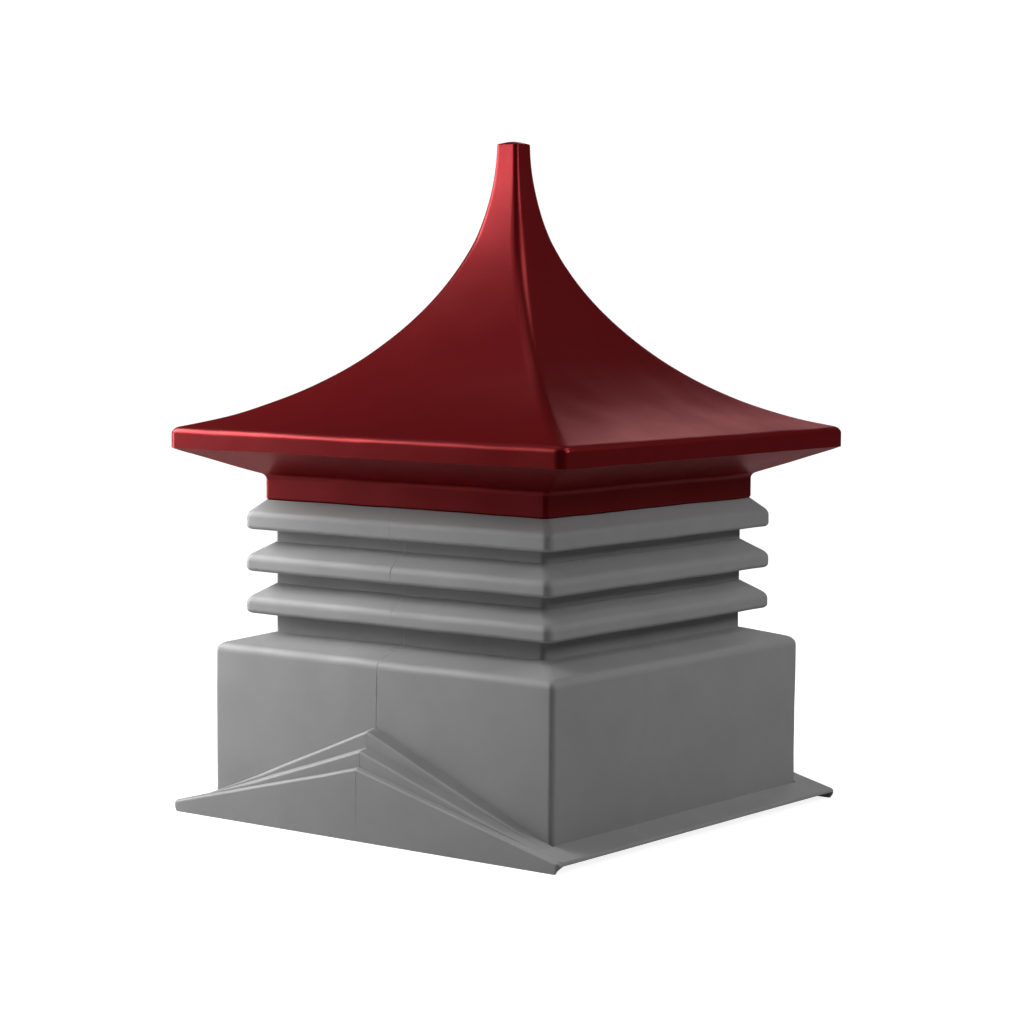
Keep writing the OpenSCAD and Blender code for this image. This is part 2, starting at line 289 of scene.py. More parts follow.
class Tree:
    """Small helper that builds a node tree with named inputs."""

    def __init__(self, name: str, kind: str = "GeometryNodeTree") -> None:
        """Start an empty tree of one kind."""
        self.tree = bpy.data.node_groups.new(name, kind)
        self.nodes = self.tree.nodes
        self.source = self.nodes.new("NodeGroupInput")
        self.target = self.nodes.new("NodeGroupOutput")

    def socket(self, name: str, kind: str, value: float | tuple | None = None,
               out: bool = False) -> None:
        """Add an input or an output of the tree.

        Args:
            name: name of the socket.
            kind: socket type, such as NodeSocketFloat.
            value: its default.
            out: whether it is an output.
        """
        made = self.tree.interface.new_socket(name, in_out="OUTPUT" if out else "INPUT",
                                              socket_type=kind)
        if value is not None:
            made.default_value = value

    def given(self, name: str) -> bpy.types.NodeSocket:
        """Return the socket that carries one of the tree's inputs."""
        return self.source.outputs[name]

    def node(self, kind: str, *links: object, **settings: object) -> bpy.types.Node:
        """Add a node.

        Args:
            kind: the node's type.
            links: for each input in turn, a socket to link, a value to set, or None to skip.
            settings: properties of the node.

        Returns:
            The node.
        """
        made = self.nodes.new(kind)
        for key, value in settings.items():
            setattr(made, key, value)
        for socket, link in zip(made.inputs, links):
            self.feed(socket, link)
        return made

    def feed(self, socket: bpy.types.NodeSocket, link: object) -> None:
        """Link or set one input; None leaves it alone."""
        if isinstance(link, bpy.types.NodeSocket):
            self.tree.links.new(link, socket)
        elif link is not None:
            socket.default_value = link

    def maths(self, operation: str, *links: object) -> bpy.types.NodeSocket:
        """Add a Math node and return its result."""
        return self.node("ShaderNodeMath", *links, operation=operation).outputs[0]

    def vector(self, operation: str, *links: object) -> bpy.types.NodeSocket:
        """Add a Vector Math node and return its first result."""
        return self.node("ShaderNodeVectorMath", *links, operation=operation).outputs[0]

    def attribute(self, name: str) -> bpy.types.NodeSocket:
        """Read a float attribute of the mesh."""
        return self.node("GeometryNodeInputNamedAttribute", name).outputs[0]


def build_settle_tree() -> bpy.types.NodeTree:
    """Build the slight unevenness that a moulding takes on as it cools.

    Returns:
        A group that shifts every point by a smooth noise of its own place, so that
        neighbouring pieces stay joined, and keeps the whole inside its box.
    """
    t = Tree("Cooling unevenness")
    t.socket("Geometry", "NodeSocketGeometry")
    t.socket("Amount", "NodeSocketFloat", 1.1 * MM)
    t.socket("Scale", "NodeSocketFloat", 6.5)
    t.socket("Seed", "NodeSocketFloat", 3.7)
    t.socket("Foot", "NodeSocketFloat", 60 * MM)
    t.socket("Lowest", "NodeSocketVector", (-1.0, -1.0, 0.0))
    t.socket("Highest", "NodeSocketVector", (1.0, 1.0, 2.0))
    t.socket("Geometry", "NodeSocketGeometry", out=True)
    place = t.node("GeometryNodeInputPosition").outputs[0]
    noise = t.node("ShaderNodeTexNoise", place, t.given("Seed"), t.given("Scale"), 1.0,
                   noise_dimensions="4D")
    height = t.node("ShaderNodeSeparateXYZ", place).outputs[2]
    fade = t.node("ShaderNodeMapRange", height, 0.0, t.given("Foot"), 0.0, 1.0,
                  interpolation_type="SMOOTHSTEP").outputs[0]
    reach = t.maths("MULTIPLY", t.maths("MULTIPLY", t.given("Amount"), 4.0), fade)
    centred = t.vector("SUBTRACT", noise.outputs["Color"], (0.5, 0.5, 0.5))
    shift = t.node("ShaderNodeVectorMath", centred, operation="SCALE")
    t.feed(shift.inputs["Scale"], reach)
    moved = t.vector("ADD", place, shift.outputs[0])
    held = t.vector("MINIMUM", t.vector("MAXIMUM", moved, t.given("Lowest")), t.given("Highest"))
    put = t.node("GeometryNodeSetPosition", t.given("Geometry"), None, held)
    t.feed(t.target.inputs[0], put.outputs[0])
    return t.tree


def settle_node(tree: Tree, geometry: bpy.types.NodeSocket,
                group: bpy.types.NodeTree) -> bpy.types.NodeSocket:
    """Add the unevenness group, held inside the CAD box.

    Args:
        tree: the tree that it goes into.
        geometry: what it works on.
        group: the unevenness group.

    Returns:
        The settled geometry.
    """
    made = tree.node("GeometryNodeGroup", geometry, node_tree=group)
    made.inputs["Lowest"].default_value = CAD_BOX[0]
    made.inputs["Highest"].default_value = CAD_BOX[1]
    return made.outputs[0]


def finish_tree(tree: Tree, geometry: bpy.types.NodeSocket) -> bpy.types.NodeTree:
    """End a tree in Realize Instances and Set Material and return it."""
    real = tree.node("GeometryNodeRealizeInstances", geometry).outputs[0]
    dressed = tree.node("GeometryNodeSetMaterial", real, None, tree.given("Material"))
    tree.feed(tree.target.inputs[0], dressed.outputs[0])
    return tree.tree


def build_wrap_tree(settle: bpy.types.NodeTree) -> bpy.types.NodeTree:
    """Build the rule that wraps an outline round a square with rounded corners.

    The mesh brings the half width and height of each point of the outline, and the side
    and turn of each column; the tree puts every point in its place.

    Args:
        settle: the unevenness group.

    Returns:
        The tree.
    """
    t = Tree("Square wrap")
    t.socket("Geometry", "NodeSocketGeometry")
    t.socket("Corner Radius", "NodeSocketFloat", 10 * MM)
    t.socket("Softer Radius", "NodeSocketFloat", 20 * MM)
    t.socket("Corner Share", "NodeSocketFloat", 0.35)
    t.socket("Skin", "NodeSocketFloat", 5 * MM)
    t.socket("Material", "NodeSocketMaterial")
    t.socket("Geometry", "NodeSocketGeometry", out=True)
    widest = t.maths("MULTIPLY", t.attribute("outer_half"), t.given("Corner Share"))
    more = t.maths("SUBTRACT", t.given("Softer Radius"), t.given("Corner Radius"))
    radius = t.maths("MULTIPLY_ADD", t.attribute("softness"), more, t.given("Corner Radius"))
    outside = t.maths("MINIMUM", radius, widest)
    inside = t.maths("MAXIMUM", t.maths("SUBTRACT", outside, t.given("Skin")), 1 * MM)
    change = t.maths("SUBTRACT", inside, outside)
    soft = t.maths("MULTIPLY_ADD", t.attribute("inside"), change, outside)
    reach = t.maths("SUBTRACT", t.attribute("half"), soft)
    turn = t.attribute("turn")
    x = t.maths("MULTIPLY_ADD", t.attribute("side_x"), reach,
                t.maths("MULTIPLY", soft, t.maths("COSINE", turn)))
    y = t.maths("MULTIPLY_ADD", t.attribute("side_y"), reach,
                t.maths("MULTIPLY", soft, t.maths("SINE", turn)))
    place = t.node("ShaderNodeCombineXYZ", x, y, t.attribute("height")).outputs[0]
    put = t.node("GeometryNodeSetPosition", t.given("Geometry"), None, place).outputs[0]
    return finish_tree(t, settle_node(t, put, settle))


def build_panel_tree(settle: bpy.types.NodeTree) -> bpy.types.NodeTree:
    """Build the tree that settles and dresses a panel whose points are already placed."""
    t = Tree("Settled panel")
    t.socket("Geometry", "NodeSocketGeometry")
    t.socket("Material", "NodeSocketMaterial")
    t.socket("Geometry", "NodeSocketGeometry", out=True)
    return finish_tree(t, settle_node(t, t.given("Geometry"), settle))


def build_flash_tree(settle: bpy.types.NodeTree) -> bpy.types.NodeTree:
    """Build the thin ragged fin that the joint of a mould leaves along a line.

    Args:
        settle: the unevenness group.

    Returns:
        The tree; its geometry is a chain of edges.
    """
    t = Tree("Mould flash")
    t.socket("Geometry", "NodeSocketGeometry")
    t.socket("Thickness", "NodeSocketFloat", 0.8 * MM)
    t.socket("Spacing", "NodeSocketFloat", 2.5 * MM)
    t.socket("Raggedness", "NodeSocketFloat", 0.7)
    t.socket("Seed", "NodeSocketFloat", 1.0)
    t.socket("Sides", "NodeSocketInt", 5)
    t.socket("Material", "NodeSocketMaterial")
    t.socket("Geometry", "NodeSocketGeometry", out=True)
    path = settle_node(t, t.given("Geometry"), settle)
    curve = t.node("GeometryNodeMeshToCurve", path).outputs[0]
    even = t.node("GeometryNodeResampleCurve", curve)
    even.mode = "LENGTH"
    t.feed(even.inputs["Length"], t.given("Spacing"))
    place = t.node("GeometryNodeInputPosition").outputs[0]
    noise = t.node("ShaderNodeTexNoise", place, t.given("Seed"), 90.0, 2.0,
                   noise_dimensions="4D").outputs[0]
    spread = t.maths("MULTIPLY", t.maths("SUBTRACT", noise, 0.5), t.given("Raggedness"))
    size = t.maths("MULTIPLY", t.maths("MULTIPLY_ADD", spread, 3.0, 1.0), t.given("Thickness"))
    held = t.maths("MAXIMUM", size, 0.1 * MM)
    ring = t.node("GeometryNodeCurvePrimitiveCircle", t.given("Sides"))
    t.feed(ring.inputs["Radius"], 1.0)
    body = t.node("GeometryNodeCurveToMesh", even.outputs[0], ring.outputs[0], held, True)
    return finish_tree(t, body.outputs[0])


@dataclass
class Workshop:
    """Trees and finishes that every sub-assembly draws on, and the pieces made so far."""

    wrap: bpy.types.NodeTree
    panel: bpy.types.NodeTree
    flash: bpy.types.NodeTree
    finishes: dict[Slot, bpy.types.Material]
    made: list[bpy.types.Object] = field(default_factory=list)

    def settle(self, raw: bpy.types.Object, tree: bpy.types.NodeTree, slot: Slot,
               nodes: tuple[str, ...], **sizes: float) -> bpy.types.Object:
        """Run a tree on a raw object and keep the plain mesh that it gives.

        Args:
            raw: the object that the tree works on.
            tree: the tree.
            slot: material slot of the record.
            nodes: CAD nodes that the piece stands for.
            sizes: values of the tree's inputs, with underscores for spaces.

        Returns:
            The finished piece, which rides on the one body there is.
        """
        modifier = raw.modifiers.new("Moulding", "NODES")
        modifier.node_group = tree
        inputs = {item.name: item.identifier for item in tree.interface.items_tree
                  if item.in_out == "INPUT"}
        modifier[inputs["Material"]] = self.finishes[slot]
        for name, value in sizes.items():
            modifier[inputs[name.replace("_", " ").title()]] = value
        graph = bpy.context.evaluated_depsgraph_get()
        mesh = bpy.data.meshes.new_from_object(raw.evaluated_get(graph), depsgraph=graph)
        raw.modifiers.remove(modifier)
        rough = raw.data
        raw.data = mesh
        bpy.data.meshes.remove(rough)
        for layer in [a.name for a in mesh.attributes if not a.is_required
                      and a.name not in ("material_index", "sharp_face")]:
            mesh.attributes.remove(mesh.attributes[layer])
        join_doubles(mesh)
        mesh.name = raw.name
        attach(raw, "root")
        if nodes:
            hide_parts(*nodes)
        self.made.append(raw)
        log.info("%s: %d faces", raw.name, len(mesh.polygons))
        return raw

    def wrapped(self, name: str, outline: Outline, slot: Slot,
                softness: Callable[[float, float], float] = lambda half, height: 0.0,
                facing: Facing | None = None, **sizes: float) -> bpy.types.Object:
        """Wrap an outline round the square plan, whole or one side of it.

        Args:
            name: name of the piece and of the CAD node that it stands for.
            outline: the section of the moulding.
            slot: material slot of the record.
            softness: share of the softer radius at a half width and height.
            facing: the side, or None for the whole ring.
            sizes: values of the tree's inputs.

        Returns:
            The finished piece.
        """
        columns = plan_columns(facing, max(p[0] for p in outline.outer))
        loop = np.array(outline.outer + outline.inner[::-1])
        widths = [p[0] for p in outline.outer]
        softer = [softness(*p) for p in outline.outer]
        rows, count, half = len(loop), len(columns), len(outline.outer)
        raw = make_object(name, np.zeros((rows * count, 3)),
                          section_faces(rows, count, facing is None))
        values = {
            "half": np.repeat(loop[:, 0], count),
            "height": np.repeat(loop[:, 1], count),
            "outer_half": np.repeat(widths + widths[::-1], count),
            "softness": np.repeat(softer + softer[::-1], count),
            "inside": np.repeat([0.0] * half + [1.0] * half, count),
            "side_x": np.tile(columns[:, 0], rows),
            "side_y": np.tile(columns[:, 1], rows),
            "turn": np.tile(columns[:, 2], rows),
        }
        for key, value in values.items():
            layer = raw.data.attributes.new(key, "FLOAT", "POINT")
            layer.data.foreach_set("value", np.asarray(value, dtype=np.float32))
        return self.settle(raw, self.wrap, slot, (name,), skin=outline.skin, **sizes)

    def panelled(self, name: str, outer: np.ndarray, inner: np.ndarray,
                 slot: Slot) -> bpy.types.Object:
        """Close two grids of points into a panel with a thickness.

        Args:
            name: name of the piece and of the CAD node that it stands for.
            outer: rows of columns of points outside, rows upwards.
            inner: the same inside.
            slot: material slot of the record.

        Returns:
            The finished piece.
        """
        loop = np.concatenate([outer, inner[::-1]])
        raw = make_object(name, loop.reshape(-1, 3),
                          section_faces(loop.shape[0], loop.shape[1], False))
        return self.settle(raw, self.panel, slot, (name,))

    def flashed(self, name: str, path: np.ndarray, slot: Slot, closed: bool,
                **sizes: float) -> bpy.types.Object:
        """Leave a mould's flash along a path.

        Args:
            name: name of the piece.
            path: points along it.
            slot: material slot of the record.
            closed: whether the path is a loop.
            sizes: values of the tree's inputs.

        Returns:
            The finished piece.
        """
        mesh = bpy.data.meshes.new(name)
        count = len(path)
        edges = [(i, (i + 1) % count) for i in range(count if closed else count - 1)]
        mesh.from_pydata(path.tolist(), edges, [])
        raw = bpy.data.objects.new(name, mesh)
        bpy.context.scene.collection.objects.link(raw)
        return self.settle(raw, self.flash, slot, (), **sizes)


def plan_columns(facing: Facing | None, widest: float) -> np.ndarray:
    """List the columns of a wrap.

    Args:
        facing: the side, or None for the whole ring.
        widest: largest half width, which sets how many columns a side has.

    Returns:
        For each column its share along x, its share along y, and its turn.
    """
    bends, sides = CORNER_STEPS, max(10, round(2 * widest / COLUMN_STEP))
    signs = [(1, 1), (-1, 1), (-1, -1), (1, -1)]
    columns = []

    def bend(corner: int, first: int, last: int) -> None:
        """Add a corner's columns from one step of its turn to another."""
        for step in range(first, last + 1):
            columns.append((*signs[corner % 4], math.pi / 2 * (corner + step / bends)))

    def side(corner: int) -> None:
        """Add the columns between a corner and the next."""
        a, b = np.array(signs[corner % 4]), np.array(signs[(corner + 1) % 4])
        for step in range(1, sides):
            columns.append((*(a + (b - a) * step / sides), math.pi / 2 * (corner + 1)))

    if facing is None:
        for corner in range(4):
            bend(corner, 0, bends)
            side(corner)
    else:
        bend(facing.value, bends // 2, bends)
        side(facing.value)
        bend(facing.value + 1, 0, bends // 2)
    return np.array(columns, dtype=float)


# ---- Roof moulding ----


@dataclass
class Roof:
    """The swept roof: collar, soffit, fascia, four slopes, neck and crown."""

    shop: Workshop
    skin: float = 5 * MM
    collar_edge: float = 4.5 * MM
    corner_radius: float = 10 * MM
    soffit_fillet: float = 12 * MM
    soffit_rise: float = 52.5 * MM
    fascia_height: float = 37 * MM
    eave_radius: float = 14 * MM
    hip_radius: float = 20 * MM
    sweep_above_neck: float = 9 * MM
    crown_rise: float = 4.5 * MM
    crown_flat: float = 16 * MM
    crown_bend: float = 6 * MM
    slope_turn: float = math.radians(1.3)
    neck_edge: float = 2.5 * MM
    flash_inset: float = 1.9 * MM
    flash_lift: float = 0.4 * MM
    flash_thickness: float = 0.9 * MM

    def build(self) -> None:
        """Make every piece of the roof."""
        collar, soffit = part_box("roof_collar"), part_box("eave_soffit")
        neck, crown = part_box("roof_neck"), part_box("roof_crown")
        self.collar_half, self.foot_z = collar[1][0], collar[0][2]
        self.eave_half, self.eave_z = soffit[1][0], soffit[1][2]
        self.neck_foot_z, self.cap_z = neck[0][2], neck[1][2]
        self.neck_half, self.crown_z = crown[1][0], crown[1][2]
        self.neck_top_z = self.crown_z - self.crown_rise
        outline = self.outline()
        wrap = self.shop.wrapped
        common = {"softness": lambda half, height: float(height >= self.eave_z - SAME_PLACE),
                  "corner_radius": self.corner_radius, "softer_radius": self.hip_radius}
        wrap("roof_collar", outline.between("foot", "fillet"), Slot.ROOF, **common)
        wrap("eave_soffit", outline.between("fillet", "eave"), Slot.ROOF, **common)
        wrap("eave_fascia", outline.between("eave", "slope"), Slot.ROOF, **common)
        slope = outline.between("slope", "neck")
        for name, facing in (("roof_front", Facing.FRONT), ("roof_back", Facing.BACK),
                             ("roof_left", Facing.LEFT), ("roof_right", Facing.RIGHT)):
            wrap(name, slope, Slot.ROOF, facing=facing, **common)
        wrap("roof_neck", outline.between("neck", "cap"), Slot.ROOF, **common)
        wrap("roof_crown", self.crown(outline), Slot.ROOF, **common)
        self.eave_flash()

    def outline(self) -> Outline:
        """Trace the roof's section from the collar's foot to the top of the neck.

        Returns:
            The outline, marked foot, fillet, eave, slope, neck and cap.
        """
        soffit_z = self.eave_z - self.soffit_rise
        made = Outline(self.skin)
        edge = self.collar_edge
        centre = np.array([self.collar_half - edge, self.foot_z + edge])
        for turn in np.linspace(-math.pi / 2, 0, 6):
            out = centre + edge * np.array([math.cos(turn), math.sin(turn)])
            made.add(out, np.array([self.collar_half - self.skin, out[1]]))
        made.marks["foot"] = 0
        path = Outline(self.skin)
        path.trace([
            Corner(self.collar_half, self.foot_z + edge),
            Corner(self.collar_half, soffit_z, self.soffit_fillet, "fillet"),
            Corner(self.eave_half, self.eave_z),
            Corner(self.eave_half, self.eave_z + self.fascia_height),
        ])
        for a, b in zip(path.outer[1:-1], path.inner[1:-1]):
            made.add(np.array(a), np.array(b))
            if a == path.outer[path.marks["fillet"]]:
                made.note("fillet")
            if math.dist(a, (self.eave_half, self.eave_z)) < SAME_PLACE:
                made.note("eave")
                break
        run = self.eave_half - self.neck_half
        sweep_z = self.neck_top_z + self.sweep_above_neck
        drop = sweep_z - self.eave_z - self.fascia_height
        radius = (run ** 2 + drop ** 2) / (2 * run)
        sweep_half = self.neck_half + radius
        edge_half = self.eave_half - self.eave_radius
        edge_reach = radius + self.eave_radius
        edge_z = sweep_z - math.sqrt(edge_reach ** 2 - (sweep_half - edge_half) ** 2)
        turn = math.atan2(sweep_z - edge_z, sweep_half - edge_half)
        made.sweep((edge_half, edge_z), self.eave_radius, np.linspace(0, turn, 10), False)
        made.note("slope")
        for mark, level in (("neck", self.neck_foot_z), ("cap", self.cap_z)):
            last = math.asin((sweep_z - level) / radius)
            steps = max(4, round((turn - last) / self.slope_turn))
            turns = np.linspace(turn, last, steps + 1)[1:]
            made.sweep((sweep_half, sweep_z), radius, turns + math.pi, True)
            made.note(mark)
            turn = last
        return made

    def crown(self, outline: Outline) -> Outline:
        """Trace the shallow crown that closes the neck.

        Args:
            outline: the roof's outline, which ends under the crown.

        Returns:
            An outline whose inside is drawn in to the axis, so that the crown is solid.
        """
        foot = outline.outer[-1]
        made = Outline(self.skin)
        path = Outline(self.skin)
        path.trace([
            Corner(*foot), Corner(self.neck_half, self.neck_top_z, self.neck_edge),
            Corner(self.crown_flat / 2, self.crown_z, self.crown_bend),
            Corner(0.5 * MM, self.crown_z),
        ])
        for out in path.outer:
            made.add(np.array(out), np.array([THINNEST, foot[1]]))
        return made

    def eave_flash(self) -> None:
        """Leave the ragged flash under the eave's edge."""
        half, corner = self.eave_half - self.flash_inset, self.hip_radius
        path = []
        for column in plan_columns(None, half):
            reach = half - corner
            path.append((column[0] * reach + corner * math.cos(column[2]),
                         column[1] * reach + corner * math.sin(column[2]),
                         self.eave_z + self.flash_lift))
        self.shop.flashed("eave_flash", np.array(path), Slot.ROOF, True,
                          thickness=self.flash_thickness, raggedness=0.9, seed=4.2)


# ---- Base moulding ----


@dataclass
class Louvres:
    """The upper part of the base: shoulder, three louvres with bands between, and spigot."""

    shop: Workshop
    skin: float = 5 * MM
    corner_radius: float = 11 * MM
    nose_corner_radius: float = 17 * MM
    shoulder_radius: float = 18 * MM
    shoulder_rise: float = 22.5 * MM
    nose_height: float = 28 * MM
    top_nose_extra: float = 3 * MM
    nose_top_radius: float = 19 * MM
    nose_bottom_radius: float = 8 * MM

    def outline(self) -> Outline:
        """Trace the base's section from the top of the walls to the top of the spigot.

        Returns:
            The outline, with a mark wherever two pieces meet.
        """
        shoulder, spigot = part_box("shoulder"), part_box("spigot")
        band_half, band_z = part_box("band_lower")[1][0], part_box("band_lower")[0][2]
        wall_half = shoulder[1][0]
        self.band_half, self.nose_half = band_half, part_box("louvre_lower")[1][0]
        corners = [
            Corner(wall_half, shoulder[0][2], 0, "wall"),
            Corner(wall_half, band_z - self.shoulder_rise, self.shoulder_radius),
            Corner(band_half, band_z, 0, "band_lower"),
        ]
        for name, above in (("lower", "band_middle"), ("middle", "band_upper"), ("upper", "")):
            low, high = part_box("louvre_" + name)
            nose = low[2] + self.nose_height + (0 if above else self.top_nose_extra)
            root = band_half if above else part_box("roof_collar")[1][0]
            corners += [
                Corner(band_half, low[2], 0, "louvre_" + name),
                Corner(high[0], low[2], self.nose_bottom_radius),
                Corner(high[0], nose, self.nose_top_radius),
                Corner(root, high[2], 0, above),
            ]
        corners += [Corner(spigot[1][0], spigot[0][2], 0, "spigot"),
                    Corner(spigot[1][0], spigot[1][2], 0, "top")]
        made = Outline(self.skin)
        made.trace(corners)
        return made

    def build(self) -> Outline:
        """Make every ring of the base and return the outline for the parting line."""
        outline = self.outline()

        def softness(half: float, height: float) -> float:
            """Give the share of the noses' radius by how far the louvre stands out."""
            return min(max((half - self.band_half) / (self.nose_half - self.band_half), 0), 1)

        order = ["wall", "band_lower", "louvre_lower", "band_middle", "louvre_middle",
                 "band_upper", "louvre_upper", "spigot", "top"]
        for name, above in zip(order, order[1:]):
            louvre = {"softness": softness} if name.startswith("louvre") else {}
            self.shop.wrapped("shoulder" if name == "wall" else name,
                              outline.between(name, above), Slot.BASE, **louvre,
                              corner_radius=self.corner_radius,
                              softer_radius=self.nose_corner_radius)
        return outline


@dataclass
class GableEnds:
    """The lower part of the base: walls, pitch steps, aprons and side flanges."""

    shop: Workshop
    skin: float = 5 * MM
    corner_radius: float = 11 * MM
    foot_height: float = 34 * MM
    pitches: tuple[float, float, float] = (5 / 12, 4 / 12, 3 / 12)
    ledge_fall: float = 5 * MM
    ledge_full_depth: float = 20 * MM
    ledge_edge: float = 5 * MM
    ledge_share: float = 0.4
    inner_edge: float = 0.3 * MM
    apron_rise: float = 20 * MM
    peak_softness: float = 3 * MM
    nose_radius: float = 6 * MM
    cove: float = 14 * MM

    def build(self) -> np.ndarray:
        """Make every piece and return the section at the middle of a gable end."""
        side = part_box("right_wall")
        self.wall_half, self.wall_top = side[1][0], side[1][2]
        self.steep_edge = -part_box("front_steep_step")[0][1]
        self.middle_edge = -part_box("front_middle_step")[0][1]
        self.rim_y, self.rim_x = -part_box("front_apron")[0][1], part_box("right_flange")[1][0]
        self.wall_straight = self.wall_half - self.corner_radius
        steep, middle, low = self.pitches
        sections = []
        for end, sign in (("front", 1), ("back", -1)):
            self.place(f"{end}_wall", sign, *self.gable_wall())
            parts = [
                (f"{end}_steep_step", self.ledge(steep, middle, self.wall_half, self.steep_edge)),
                (f"{end}_middle_step", self.ledge(middle, low, self.steep_edge,
                                                  self.middle_edge)),
                (f"{end}_apron", self.apron()),
            ]
            for name, grids in parts:
                self.place(name, sign, *grids)
            sections = [grids[0] for _, grids in parts]
        for name, sign in (("right", 1), ("left", -1)):
            self.place(f"{name}_wall", sign, *self.side_wall())
            self.place(f"{name}_flange", sign, *self.flange())
        middles = [grid[:, grid.shape[1] // 2] for grid in sections[::-1]]
        return np.concatenate(middles)

    def place(self, name: str, sign: int, outer: np.ndarray, inner: np.ndarray) -> None:
        """Turn a pair of grids half round if need be, and make the piece.

        Args:
            name: the CAD node's name.
            sign: 1 to leave the grids, -1 to turn them half round the axis.
            outer: points outside.
            inner: points inside.
        """
        turn = np.array([sign, sign, 1.0])
        self.shop.panelled(name, outer * turn, inner * turn, Slot.BASE)

    def line(self, across: np.ndarray, pitch: float) -> np.ndarray:
        """Give the height of a pitch line, a little softened at its peak.

        Args:
            across: places along x.
            pitch: rise for each unit of run.

        Returns:
            The heights.
        """
        soft = np.where(np.abs(across) < self.wall_half / 2,
                        np.sqrt(across ** 2 + self.peak_softness ** 2), np.abs(across))
        return self.foot_height + (self.wall_half - soft) * pitch

    def stations(self, half: float) -> np.ndarray:
        """List even stations along x, close together round the peak."""
        steps = round(half / COLUMN_STEP)
        right = np.concatenate([[1.5 * MM, 3 * MM, 5 * MM, 9 * MM],
                                np.linspace(0, half, steps + 1)[1:]])
        return np.concatenate([-right[::-1], [0.0], right])

    def gable_wall(self) -> tuple[np.ndarray, np.ndarray]:
        """Shape the wall over the steps of the front end, with its rounded corners.

        Returns:
            Its outer and inner grids.
        """
        radius, straight = self.corner_radius, self.wall_straight
        turns = np.linspace(math.pi, 1.5 * math.pi, CORNER_STEPS + 1)
        flat = self.stations(straight)[1:-1]
        grids = []
        for r in (radius, radius - self.skin):
            left = np.column_stack([-straight + r * np.cos(turns), -straight + r * np.sin(turns)])
            right = left[::-1] * np.array([-1, 1])
            front = np.column_stack([flat, np.full_like(flat, -straight - r)])
            plan = np.concatenate([left, front, right])
            foot = self.line(plan[:, 0], self.pitches[0])
            levels = [foot - self.skin]
            levels += [foot + (self.wall_top - foot) * k for k in np.linspace(0, 1, WALL_ROWS)]
            grids.append(np.array([np.column_stack([plan, level]) for level in levels]))
        return grids[0], grids[1]

    def section(self, edge: np.ndarray, back: np.ndarray, low: np.ndarray, pitch: float,
                rise: np.ndarray) -> tuple[np.ndarray, np.ndarray]:
        """Shape a riser and the ledge over it, column by column.

        Args:
            edge: plan of the riser's face.
            back: plan of the ledge's root.
            low: height of the riser's foot for each column.
            pitch: rise of the ledge for each unit of run.
            rise: free height of the riser, which limits its edge's radius.

        Returns:
            Outer and inner grids, rows from the foot up and back to the root.
        """
        way = back - edge
        depth = np.linalg.norm(way, axis=1)
        way = way / depth[:, None]
        fall = np.minimum(self.ledge_fall * np.minimum(depth / self.ledge_full_depth, 1),
                          self.ledge_share * rise)
        radius = np.minimum(self.ledge_edge, self.ledge_share * rise)

        def at(inset: np.ndarray, height: np.ndarray) -> np.ndarray:
            """Place a row at an inset from the edge and a height."""
            return np.column_stack([edge + way * inset[:, None], height])

        def top(inset: np.ndarray, skin: float) -> np.ndarray:
            """Give the ledge's height at an inset."""
            across = (edge + way * inset[:, None])[:, 0]
            return self.line(across, pitch) - fall * (1 - inset / depth) - skin

        outer, inner = [], []
        zero = np.zeros_like(depth)
        shoulder = top(radius, 0.0) - radius
        hidden = top(zero + self.skin, self.skin) - self.inner_edge
        for share in np.linspace(0, 1, 7):
            outer.append(at(zero, low + (shoulder - low) * share))
            inner.append(at(zero + self.skin, low + (hidden - low) * share))
        for turn in np.linspace(0, math.pi / 2, 6)[1:]:
            inset = radius * (1 - math.cos(turn))
            outer.append(at(inset, shoulder + radius * math.sin(turn)))
            done = turn / (math.pi / 2)
            small = self.inner_edge * done
            inner.append(at(zero + self.skin + small,
                            hidden + (top(zero + self.skin + small, self.skin) - hidden)
                            * done))
        start_out, start_in = radius, zero + self.skin + self.inner_edge
        for share in (0.33, 0.66, 1.0):
            inset = start_out + (depth - start_out) * share
            outer.append(at(inset, top(inset, 0.0)))
            inset = start_in + (depth - start_in) * share
            inner.append(at(inset, top(inset, self.skin)))
        return np.array(outer), np.array(inner)

    def ledge(self, pitch: float, below: float, back: float,
              edge: float) -> tuple[np.ndarray, np.ndarray]:
        """Shape one pitch step of the front end.

        Args:
            pitch: rise of the step's own line.
            below: rise of the next line down.
            back: distance of the ledge's root from the middle.
            edge: distance of its edge.

        Returns:
            Its outer and inner grids.
        """
        across = self.stations(self.wall_half)
        low = self.line(across, below) - self.skin
        rise = np.maximum(THINNEST, (self.wall_half - np.abs(across)) * (pitch - below))
        return self.section(np.column_stack([across, np.full_like(across, -edge)]),
                            np.column_stack([across, np.full_like(across, -back)]),
                            low, pitch, rise)

